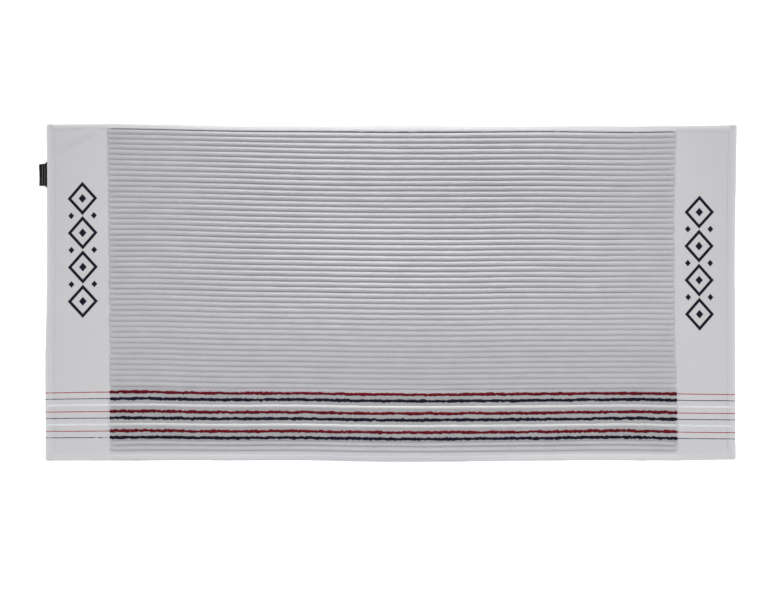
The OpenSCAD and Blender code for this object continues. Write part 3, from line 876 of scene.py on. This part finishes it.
def make_hem(name, side, width, nodes, seed):
    """side: top, bottom, left or right."""
    face, under = hem_profile(width)
    if side in ("top", "bottom"):
        ss = stations(-HX + END_HEM + 0.05, HX - END_HEM - 0.05, 1.5, 0.75, 7.5)
    else:
        ss = stations(-HY, HY, 1.3)
    # along the pile the top hem stands up to the first rib; on the plain bands it is pressed flat
    full = smooth((FX - np.abs(ss)) / 9.0 + 0.5) if side == "top" else np.zeros_like(ss)
    nf, nv = len(face), len(face) + len(under)
    nu = len(ss)
    S, W = np.meshgrid(ss, np.concatenate([face, [u[0] for u in under]]), indexing="ij")
    F = np.meshgrid(full, np.zeros(nv), indexing="ij")[0].copy()
    Z = np.meshgrid(ss, np.concatenate([face * 0, [u[1] for u in under]]), indexing="ij")[1].copy()
    tall_w = np.where(W > width, width + (W - width) * 0.22, W)
    tall_w = tall_w - (0.4 + 0.4 * np.exp(-((S / 230.0) ** 2))) * smooth((tall_w - 4.5) / 3.5)
    W[:, :nf] = W[:, :nf] * (1 - F[:, :nf]) + tall_w[:, :nf] * F[:, :nf]
    flat_z = hem_top(np.broadcast_to(face, (nu, nf)), width)
    tall_z = np.interp(face, (1.0, width - 0.35, width - 0.12, width + 0.1, width + 1.3, width + 3.4), (0.0, 0.0, -0.15, -0.4, -0.9, -1.0))
    tall_z = hem_top(np.minimum(np.broadcast_to(face, (nu, nf)), width - 0.35), width, 1.0) + tall_z
    Z[:, :nf] = flat_z + (tall_z - flat_z) * F[:, :nf]
    Z[:, 0] -= 0.12
    # painted highlight: the cloth's colour is painted lighter towards its folded edge; beside the pile the top and
    # bottom hems are painted lighter or darker along their length to match the light there, as grey as the pile where
    # the hem runs out from it
    painted_hem_shading = 0.22 + 0.78 * np.exp(-np.maximum(W, 0) / 3.2)
    if side == "top":
        mid = np.exp(-((S / 230.0) ** 2))
        painted_hem_shading = 0.15 + 0.80 * np.exp(-((W / 6.5) ** 2))
        by_pile = 0.42 - 0.52 * mid + (0.42 + 0.27 * mid) * smooth((W - mid) / 6.5)
        painted_hem_shading = painted_hem_shading + (by_pile - painted_hem_shading) * F
    if side == "bottom":
        painted_hem_shading = 0.30 + 0.35 * np.exp(-np.maximum(W, 0) / 2.5)
        inner = np.interp(S, (-400, -250, -80, 80, 250, 400), (0.33, 0.24, -0.17, -0.17, 0.38, 0.52))
        outer = np.interp(S, (-400, -250, -80, 80, 250, 400), (0.08, 0.08, 0.10, 0.10, 0.30, 0.42))
        by_pile = inner * smooth((11.5 - W) / 3.0) + (outer - inner) * np.exp(-((W / 2.6) ** 2))
        painted_hem_shading = painted_hem_shading + (by_pile - painted_hem_shading) * smooth((FX - np.abs(S)) / 2.0 + 0.5)
    painted_hem_shading = np.clip(0.173 + 0.827 * painted_hem_shading, 0, 1)
    dz, dw = hem_shape(S, W, Z, width, seed)
    W, Z = W + dw, Z + dz
    if side in ("left", "right"):
        # the end hem's own ends are closed folds: they round off at the corners
        end = np.minimum(S + HY, HY - S)
        round_off = np.sqrt(np.clip(1 - np.clip(1 - end / 1.6, 0, 1) ** 2, 0, 1))
        Z = 1.15 + (Z - 1.15) * (0.25 + 0.75 * round_off)
        corner = np.clip(1 - end / 3.0, 0, 1) ** 2
        W = W + corner * 0.9 * np.exp(-((W / 2.0) ** 2))
    if side == "top":
        P = np.stack([S, HY - W, Z], -1)
    elif side == "bottom":
        P = np.stack([S, -HY + W, Z], -1)
    elif side == "left":
        P = np.stack([-HX + W, S, Z], -1)
    else:
        P = np.stack([HX - W, S, Z], -1)
    flip = side in ("top", "left")
    faces = grid_faces(nu, nv, wrap_v=True, flip=not flip)
    cap0 = np.arange(nv)[None, :]
    cap1 = (nu - 1) * nv + np.arange(nv)[None, ::-1]
    if not flip:
        cap0, cap1 = cap0[:, ::-1], cap1[:, ::-1]
    step = np.hypot(np.diff(W.mean(0)), np.diff(Z.mean(0)))
    A = np.meshgrid(ss, np.concatenate([[0], np.cumsum(step)]), indexing="ij")[1]
    uv = np.stack([S, A], -1) if side in ("top", "bottom") else np.stack([A, S], -1)
    ob = make_object(
        name,
        P.reshape(-1, 3),
        [faces, cap0[:, ::-1], cap1[:, ::-1]],
        uv=uv.reshape(-1, 2) * 0.001,
        materials=(MAT_HEM,),
    )
    shade_by(ob, painted_hem_shading.ravel())
    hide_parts(*nodes)
    if side in ("top", "bottom"):
        across_fold(ob)
    else:
        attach(ob, "left_half" if side == "left" else "right_half")
    return ob


def make_stitches(name, side, width, nodes, seed):
    """A row of separate thread stitches on the hem's face, and the same seen from the back."""
    pitch, length, r = 3.3, 2.9, 0.27
    if side in ("top", "bottom"):
        s0, s1 = -HX + END_HEM + 1.5, HX - END_HEM - 1.5
    else:
        s0, s1 = -HY + 2.2, HY - 2.2
    first = math.ceil(s0 / pitch) * pitch
    centres = np.arange(first, s1, pitch)
    rings, sides = 7, 6
    t = np.linspace(-1, 1, rings)
    a = np.linspace(0, 2 * np.pi, sides, endpoint=False)
    C, T, A = np.meshgrid(centres, t, a, indexing="ij")
    jig = hashed(np.arange(len(centres)), np.zeros(len(centres)), seed)[:, None, None]
    rad = r * np.sqrt(np.clip(1 - (np.abs(T) ** 3) * 0.75, 0.05, 1))
    S = C + T * length / 2 * (0.94 + 0.12 * jig)
    out = []
    for front in (True, False):
        arch = (1 - T**2) * 0.20
        if front:
            z0 = (2.30 if side == "top" else 1.46) + arch
            if side == "top":
                z0 = z0 - 0.84 * (1 - smooth((FX - np.abs(S)) / 9.0 + 0.5))
        else:
            z0 = 0.20 - arch * 0.6
        W = width - SEAM_IN + rad * np.cos(A) + T * 0.10 * (jig - 0.3)
        Z = z0 + rad * np.sin(A) * (0.8 if front else 0.45)
        if not front:
            Z = np.maximum(Z, 0.01)
        if side == "top":
            P = np.stack([S, HY - W, Z], -1)
        elif side == "bottom":
            P = np.stack([S, -HY + W, Z], -1)
        elif side == "left":
            P = np.stack([-HX + W, S, Z], -1)
        else:
            P = np.stack([HX - W, S, Z], -1)
        out.append(P.reshape(-1, 3))
    P = np.concatenate(out)
    faces, caps = [], []
    for b in range(len(P) // (rings * sides)):
        base = b * rings * sides
        faces.append(grid_faces(rings, sides, base, wrap_v=True))
        caps.append([base + i for i in range(sides)][::-1])
        caps.append([base + (rings - 1) * sides + i for i in range(sides)])
    flip = side in ("top", "left")
    faces = np.concatenate(faces)
    caps = np.array(caps)
    if flip:
        faces, caps = faces[:, ::-1], caps[:, ::-1]
    uv = np.concatenate([np.stack([S, A * 0.3], -1).reshape(-1, 2)] * 2) * 0.001
    ob = make_object(name, P, [faces, caps], uv=uv, materials=(MAT_THREAD,))
    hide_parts(*nodes)
    if side in ("top", "bottom"):
        across_fold(ob)
    else:
        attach(ob, "left_half" if side == "left" else "right_half")
    return ob


# ---------------------------------------------------------------------------
# Woven lines across the bands
# ---------------------------------------------------------------------------


def surface_z(d_end):
    """Height of the towel's face on a band, d_end in from the end: up and over the end hem."""
    w = END_HEM
    crown = 0.10 * np.clip(1 - ((d_end - w * 0.42) / (w * 0.5)) ** 2, 0, 1)
    return np.where(d_end < w + 3.2, np.maximum(hem_top(d_end, w) + crown, BAND_T + 0.02), BAND_T + 0.02)


def make_lines(name, side, ys, width, high, material, node, seed, dashes):
    """Thin coloured yarns woven across a band in line with the pile rows."""
    sign = -1 if side == "left" else 1
    d = np.concatenate([np.linspace(0.25, END_HEM + 3.6, 40)[:-1], np.linspace(END_HEM + 3.6, HX - FX - 0.2, 240)])
    prof = np.array([(-0.5, -0.12), (-0.36, 0.72), (0.0, 1.0), (0.36, 0.72), (0.5, -0.12)])
    nu, nv = len(d), len(prof)
    Ps, faces, caps = [], [], []
    for k, y in enumerate(ys):
        D, Q = np.meshgrid(d, prof[:, 0], indexing="ij")
        Zp = np.meshgrid(d, prof[:, 1], indexing="ij")[1]
        wob = 0.10 * noise(D, k * 9, 12.0, 1.0, seed) + 0.05 * noise(D, k * 9, 3.0, 1.0, seed + 1)
        grow = 1 + 0.15 * noise(D, k * 9, 2.2, 1.0, seed + 2)
        # the yarn floats over the weft and dips under it, and near the pile some floats are missing
        beat = D / 2.7 + 0.12 * noise(D, k * 5, 6.0, 1.0, seed + 3)
        over = smooth(np.sin(np.pi * (beat - np.floor(beat))) * 4.5 + 0.15)
        float_no = np.floor(beat)
        scarce = dashes * ((0.3, 0.8, 1.9)[k] if side == "left" else 0.0)
        kept = hashed(float_no, float_no * 0 + k, seed + 4) >= scarce * (0.04 + 0.96 * smooth((D - 62) / 26.0))
        kept = kept | (np.mod(float_no, 2) == 1)
        dip = over * kept if dashes > 0 else np.ones_like(D)
        X = sign * (HX - D)
        Y = y + wob + Q * width * grow
        Z = surface_z(D) + high * Zp * (0.2 + 0.8 * dip) - 0.07 * (1 - over * 1.0) * (dashes > 0) - 0.14 * (1 - dip) * (over > 0.5)
        base = len(Ps) * nu * nv
        Ps.append(np.stack([X, Y, Z], -1).reshape(-1, 3))
        faces.append(grid_faces(nu, nv, base, wrap_v=True, flip=(sign < 0)))
        a = base + np.arange(nv)
        b = base + (nu - 1) * nv + np.arange(nv)
        caps += [a[::-1] if sign < 0 else a, b if sign < 0 else b[::-1]]
    P = np.concatenate(Ps)
    ob = make_object(name, P, [np.concatenate(faces), np.array(caps)], materials=(material,))
    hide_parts(node)
    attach(ob, "left_half" if side == "left" else "right_half")
    return ob


# ---------------------------------------------------------------------------
# Argyle motif
# ---------------------------------------------------------------------------


def stroke(points, width, n_side, seed, closed=True):
    """A flat thread band of even width along a closed run of corners, mitred."""
    pts = np.array(points, float)
    m = len(pts)
    prof = np.array([(-0.5, -0.15), (-0.44, 0.75), (-0.30, 1.0), (0.30, 1.0), (0.44, 0.75), (0.5, -0.15)])
    P, lens, run = [], [], 0.0
    for i in range(m):
        a, b = pts[i], pts[(i + 1) % m]
        p, q = pts[i - 1], pts[(i + 2) % m]
        d = (b - a) / np.linalg.norm(b - a)
        e0 = (a - p) / np.linalg.norm(a - p)
        e1 = (q - b) / np.linalg.norm(q - b)
        nrm = np.array([-d[1], d[0]])
        n0, n1 = np.array([-e0[1], e0[0]]) + nrm, np.array([-e1[1], e1[0]]) + nrm
        n0 = n0 / (n0 @ nrm)
        n1 = n1 / (n1 @ nrm)
        for t in np.linspace(0, 1, n_side, endpoint=False):
            c = a + (b - a) * t
            nn = n0 * max(0, 1 - t * 1.0) + n1 * t
            # keep the width even away from the mitres
            k = min(t, 1 - t) * np.linalg.norm(b - a) / (width * 0.9)
            nn = nn if k < 1 and (t == 0) else (nrm * min(1, k) + nn * (1 - min(1, k)))
            for w, z in prof:
                P.append([*(c + nn * w * width), z])
                lens.append([run + t * np.linalg.norm(b - a), w * width])
        run += np.linalg.norm(b - a)
    P, lens = np.array(P), np.array(lens)
    nv = len(prof)
    nu = len(P) // nv
    ragged = 0.10 * noise(lens[:, 0], np.sign(lens[:, 1]) * 9, 0.9, 1.0, seed)
    P[:, 0] += ragged * 0.6
    P[:, 1] += ragged * 0.6
    u = np.arange(nu)[:, None]
    v = np.arange(nv)[None, :]
    q = np.stack(
        [u * nv + v, ((u + 1) % nu) * nv + v, ((u + 1) % nu) * nv + (v + 1) % nv, u * nv + (v + 1) % nv], -1
    ).reshape(-1, 4)
    return P, q[:, ::-1], lens


def solid_lozenge(cx, cy, w, h, rings=5):
    """A filled lozenge with bevelled edge, as rings around its middle."""
    corners = np.array([(-w / 2, 0), (0, -h / 2), (w / 2, 0), (0, h / 2)])
    n_side = 8
    edge = []
    for i in range(4):
        a, b = corners[i], corners[(i + 1) % 4]
        edge += [a + (b - a) * t for t in np.linspace(0, 1, n_side, endpoint=False)]
    edge = np.array(edge)
    P, m = [], len(edge)
    for s, z in ((1.0, -0.15), (0.94, 0.75), (0.82, 1.0), (0.5, 1.0), (0.2, 1.0)):
        P.append(np.column_stack([edge * s + (cx, cy), np.full(m, z)]))
    P.append(np.array([[cx, cy, 1.0]]))
    P.append(np.array([[cx, cy, -0.15]]))
    P = np.concatenate(P)
    quads, tris = [], []
    for r in range(4):
        for i in range(m):
            j = (i + 1) % m
            quads.append((r * m + i, r * m + j, (r + 1) * m + j, (r + 1) * m + i))
    for i in range(m):
        j = (i + 1) % m
        tris.append((4 * m + i, 4 * m + j, 5 * m))
        tris.append((j, i, 5 * m + 1))
    return P, np.array(quads), np.array(tris)


def make_motif(name, side, node, seed):
    lo, hi = node_box(node)
    cx, cy = (lo[0] + hi[0]) / 2, (lo[1] + hi[1]) / 2
    width, count = hi[0] - lo[0], 4
    step = (hi[1] - lo[1] + 1.2) / count
    high = 0.26
    Ps, quads, tris, uvs, base = [], [], [], [], 0
    line = 4.3

    def add(P, q=None, t=None, uv=None):
        nonlocal base
        P = np.array(P, float)
        P[:, 2] = BAND_T + P[:, 2] * high
        Ps.append(P)
        uvs.append(uv if uv is not None else P[:, :2])
        if q is not None and len(q):
            quads.append(q + base)
        if t is not None and len(t):
            tris.append(t + base)
        base += len(P)

    for k in range(count):
        y = cy + (k - (count - 1) / 2) * step
        w, h = width / 2, (step - 1.2) / 2
        shrink = line / 2 * math.hypot(w, h)
        ww, hh = w - shrink / h, h - shrink / w
        P, q, ln = stroke([(cx - ww, y), (cx, y - hh), (cx + ww, y), (cx, y + hh)], line, 40, seed + k)
        add(P, q, None, ln)
        P, q, t = solid_lozenge(cx, y, width * 0.26, step * 0.26)
        add(P, q, t)
    for k in range(1, count):
        y = cy + (k - count / 2) * step
        for s in (-1, 1):
            P, q, t = solid_lozenge(cx + s * width * 0.38, y, width * 0.2, step * 0.2)
            add(P, q, t)
    ob = make_object(
        name,
        np.concatenate(Ps),
        [np.concatenate(quads), np.concatenate(tris)],
        uv=np.concatenate(uvs) * 0.001,
        materials=(MAT_MOTIF,),
    )
    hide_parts(node)
    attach(ob, "left_half" if side == "left" else "right_half")
    return ob


# ---------------------------------------------------------------------------
# Label: a black ribbon folded into a loop and sewn into the left hem
# ---------------------------------------------------------------------------


def make_label():
    out = -HX - 11.4
    n_leaf = 46
    t_half = 0.16
    xs = np.concatenate([np.linspace(-HX + 6.5, -HX + 0.8, 8)[:-1], np.linspace(-HX + 0.8, -HX - 3.4, 20)[:-1], np.linspace(-HX - 3.4, out + 0.45, 14)])
    n_w = 30
    path = []
    for x in xs:
        f = np.clip((-HX + 1.0 - x) / 3.0, 0, 1)
        path.append((x, 1.02 - 0.10 * f))
    for a in np.linspace(-75, 75, 7):
        path.append((out + 0.45 - 0.5 * math.cos(math.radians(a)) + 0.1, 1.30 + 0.40 * math.sin(math.radians(a))))
    for x in xs[::-1]:
        f = np.clip((-HX + 1.0 - x) / 3.0, 0, 1)
        g = np.clip((-HX - 2.0 - x) / 6.0, 0, 1)
        path.append((x, 1.38 + 0.12 * f + 0.20 * np.sin(np.pi * g)))
    path = np.array(path)
    d = np.gradient(path, axis=0)
    d /= np.linalg.norm(d, axis=1)[:, None]
    nrm = np.stack([d[:, 1], -d[:, 0]], -1)  # outwards of the loop
    ws = np.linspace(-1, 1, n_w)
    rows = []
    for sgn in (1, -1):
        I, W = np.meshgrid(np.arange(len(path)), ws, indexing="ij")
        x = path[I, 0] + sgn * nrm[I, 0] * t_half
        z = path[I, 1] + sgn * nrm[I, 1] * t_half
        reach = np.clip((-HX - path[I, 0]) / 11.4, 0, 1)
        half = LABEL_W / 2 * (1.0 - 0.05 * reach) + 3.0 * np.clip(1 - reach / 0.28, 0, 1) ** 1.6
        y = LABEL_Y + 0.4 + W * half - 0.6 * reach
        # a soft wave along the leaf and corners that lift
        z = z + reach * (0.22 * np.sin(W * 2.6 + 0.8) + 0.30 * W**2 + 0.10 * np.sin(W * 9 + 1.0))
        x = x + reach * (0.35 * np.sin(W * 2.2 + 2.0) + 0.10 * np.sin(W * 7.0))
        rows.append(np.stack([x, y, z], -1).reshape(-1, 3))
    P = np.concatenate(rows)
    nu, nv = len(path), n_w
    n = nu * nv
    outer = grid_faces(nu, nv, 0, flip=True)
    inner = grid_faces(nu, nv, n)
    ring = (
        [i * nv for i in range(nu)]
        + [(nu - 1) * nv + j for j in range(1, nv)]
        + [i * nv + nv - 1 for i in range(nu - 2, -1, -1)]
        + [j for j in range(nv - 2, 0, -1)]
    )
    side = np.array([(a, b, n + b, n + a) for a, b in zip(ring, ring[1:] + ring[:1])])
    run = np.concatenate([[0], np.cumsum(np.linalg.norm(np.diff(path, axis=0), axis=1))])
    I, W = np.meshgrid(np.arange(nu), ws, indexing="ij")
    uv1 = np.stack([run[I], W * LABEL_W / 2], -1).reshape(-1, 2)
    ob = make_object(
        "folded_label",
        P,
        [outer, inner, side],
        uv=np.concatenate([uv1, uv1]) * 0.001,
        materials=(MAT_LABEL,),
    )
    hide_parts("label_loop", "label_tails")
    blend_label(ob)
    # the grey lines woven along its upper leaf
    Ps, faces, base = [], [], 0
    prof = np.array([(-0.5, 0.0), (-0.3, 1.0), (0.3, 1.0), (0.5, 0.0)])
    for at, wid, y_lo, y_hi in ((3.0, 0.55, -0.93, 0.90), (6.6, 0.62, -0.90, 0.94), (8.9, 0.30, -0.96, -0.25)):
        ww = np.linspace(y_lo, y_hi, 50)
        X0 = -HX - at
        W, Q = np.meshgrid(ww, prof[:, 0], indexing="ij")
        Zq = np.meshgrid(ww, prof[:, 1], indexing="ij")[1]
        reach = at / 11.4
        g = np.clip((at - 2.0) / 6.0, 0, 1)
        zc = 1.50 + 0.20 * math.sin(math.pi * g) + t_half
        half = LABEL_W / 2 * (1.0 - 0.05 * reach) + 3.0 * max(0, 1 - reach / 0.28) ** 1.6
        x = X0 + Q * wid + reach * (0.35 * np.sin(W * 2.2 + 2.0) + 0.10 * np.sin(W * 7.0)) + 0.08 * noise(W * 16, at, 2.0, 1.0, 77)
        y = LABEL_Y + 0.4 + W * half - 0.6 * reach
        z = zc + 0.085 * Zq - 0.02 + reach * (0.22 * np.sin(W * 2.6 + 0.8) + 0.30 * W**2 + 0.10 * np.sin(W * 9 + 1.0))
        nu2, nv2 = len(ww), len(prof)
        Ps.append(np.stack([x, y, z], -1).reshape(-1, 3))
        faces.append(grid_faces(nu2, nv2, base, wrap_v=True))
        base += nu2 * nv2
    ob2 = make_object("label_lines", np.concatenate(Ps), [np.concatenate(faces)], materials=(MAT_LABEL_LINE,))
    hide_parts("label_woven_lines")
    blend_label(ob2)
    return ob, ob2


def blend_label(ob):
    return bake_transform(ob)


# ---------------------------------------------------------------------------
# Build it
# ---------------------------------------------------------------------------

cloth = make_cloth()
pieces = []
edges = [0, 10, 20, 30, 39, 48]
for g in range(len(edges) - 1):
    y_hi = FY1 - edges[g] * PITCH
    y_lo = FY1 - edges[g + 1] * PITCH
    count = edges[g + 1] - edges[g]
    if g == 0:
        y_hi = HY - TOP_HEM + 0.9
    pieces.append(make_pile(f"ribbed_terry_{g + 1}", y_lo, y_hi, count * 12 + (5 if g == 0 else 1)))
pieces.append(make_pile("ribbed_terry_6", FY0, ROWS_TOP, 126))

for k, y in enumerate(RED_Y):
    pieces.append(make_row(f"red_row_{k + 1}", y + 0.2, 4.0, 3.25, MAT_RED, ("red_pile_rows_left", "red_pile_rows_right"), 100 + 20 * k))
for k, y in enumerate(NAVY_Y):
    pieces.append(make_row(f"navy_row_{k + 1}", y, 4.1, 3.25, MAT_NAVY, ("navy_pile_rows_left", "navy_pile_rows_right"), 200 + 20 * k))
for k, y in enumerate(WHITE_Y):
    pieces.append(make_row(f"white_row_{k + 1}", y, 4.5, 2.9, MAT_WHITE, ("white_cord_rows_left", "white_cord_rows_right"), 300 + 20 * k, fuzz=0.38))

pieces.append(make_hem("top_hem", "top", TOP_HEM, ("top_hem_left", "top_hem_right", "top_hem_inner_ply_left", "top_hem_inner_ply_right"), 400))
pieces.append(make_hem("bottom_hem", "bottom", BOTTOM_HEM, ("bottom_hem_left", "bottom_hem_right", "bottom_hem_inner_ply_left", "bottom_hem_inner_ply_right"), 420))
pieces.append(make_hem("end_hem_folded_left", "left", END_HEM, ("end_hem_left", "end_hem_inner_ply_left"), 440))
pieces.append(make_hem("end_hem_folded_right", "right", END_HEM, ("end_hem_right", "end_hem_inner_ply_right"), 460))
pieces.append(make_stitches("top_hem_stitches", "top", TOP_HEM, ("top_seam_thread_left", "top_seam_thread_right"), 500))
pieces.append(make_stitches("bottom_hem_stitches", "bottom", BOTTOM_HEM, ("bottom_seam_thread_left", "bottom_seam_thread_right"), 510))
pieces.append(make_stitches("end_hem_stitches_left", "left", END_HEM, ("end_seam_thread_left",), 520))
pieces.append(make_stitches("end_hem_stitches_right", "right", END_HEM, ("end_seam_thread_right",), 530))

for side in ("left", "right"):
    s = 600 if side == "left" else 650
    pieces.append(make_lines(f"red_lines_{side}", side, RED_Y, 1.25, 0.17, MAT_RED_YARN, f"red_pinstripes_{side}", s, 0.02))
    pieces.append(make_lines(f"navy_lines_{side}", side, NAVY_Y, 1.20, 0.17, MAT_NAVY_YARN, f"navy_pinstripes_{side}", s + 10, 0.40))
    pieces.append(make_lines(f"white_stripes_{side}", side, WHITE_Y, 3.5, 0.10, MAT_WHITE_YARN, f"white_band_stripes_{side}", s + 20, 0.0))
    pieces.append(make_motif(f"argyle_{side}", side, f"argyle_motif_{side}", s + 30))
pieces += list(make_label())

# ---------------------------------------------------------------------------
# Floor, light and camera
# ---------------------------------------------------------------------------


def make_floor():
    n = Nodes("pale_floor")
    n.uv.uv_map = "cloth"
    grain = n.noise(n.scale(3, 3), 1.0, 5.0)
    col = n.mix(n.span(grain, 0.3, 0.7), (0.97, 0.97, 0.97), (1.0, 1.0, 1.0))
    mat = n.finish(col, None, 0.9, 0.0, specular=0.1)
    n.bsdf.inputs["Emission Color"].default_value = (1, 1, 1, 1)
    n.bsdf.inputs["Emission Strength"].default_value = 0.10
    g = np.linspace(-6000, 6000, 13)
    X, Y = np.meshgrid(g, g, indexing="ij")
    P = np.stack([X, Y, np.full_like(X, -0.15)], -1).reshape(-1, 3)
    ob = make_object("floor", P, [grid_faces(13, 13)], materials=(mat,), warped=False)
    return ob


make_floor()


def area_light(name, loc, aim, size_x, size_y, energy, color=(1, 1, 1), spread=180):
    data = bpy.data.lights.new(name, "AREA")
    data.shape = "RECTANGLE"
    data.size, data.size_y = size_x, size_y
    data.energy = energy
    data.spread = math.radians(spread)
    data.color = color
    ob = bpy.data.objects.new(name, data)
    ob.location = loc
    from mathutils import Vector

    ob.rotation_mode = "QUATERNION"
    ob.rotation_quaternion = (Vector(aim) - Vector(loc)).to_track_quat("-Z", "Y")
    ob.visible_camera = False
    scene.collection.objects.link(ob)
    return ob


area_light("key", (0.0, 1.18, 0.27), (0, 0.08, 0), 0.30, 0.10, 2.36, spread=57)
area_light("fill", (0.12, -0.75, 1.70), (0.0, -0.05, 0), 1.6, 0.8, 10.0)

world = bpy.data.worlds.new("studio")
world.use_nodes = True
world.node_tree.nodes["Background"].inputs[0].default_value = (0.995, 0.998, 1.0, 1)
world.node_tree.nodes["Background"].inputs[1].default_value = 1.0
scene.world = world
scene.view_settings.view_transform = "Standard"
scene.view_settings.look = "None"
scene.view_settings.exposure = 0.0
scene.view_settings.gamma = 1.0

cam_data = bpy.data.cameras.new("camera")
cam_data.lens = 50
cam_data.sensor_width = 36
cam_data.clip_start, cam_data.clip_end = 0.05, 50
cam_data.dof.use_dof = False
cam = bpy.data.objects.new("camera", cam_data)
view_w = 1.1477
cam.location = (-0.0025, -0.0125, view_w * 50 / 36)
cam.rotation_euler = (0, 0, 0)
scene.collection.objects.link(cam)
scene.camera = cam
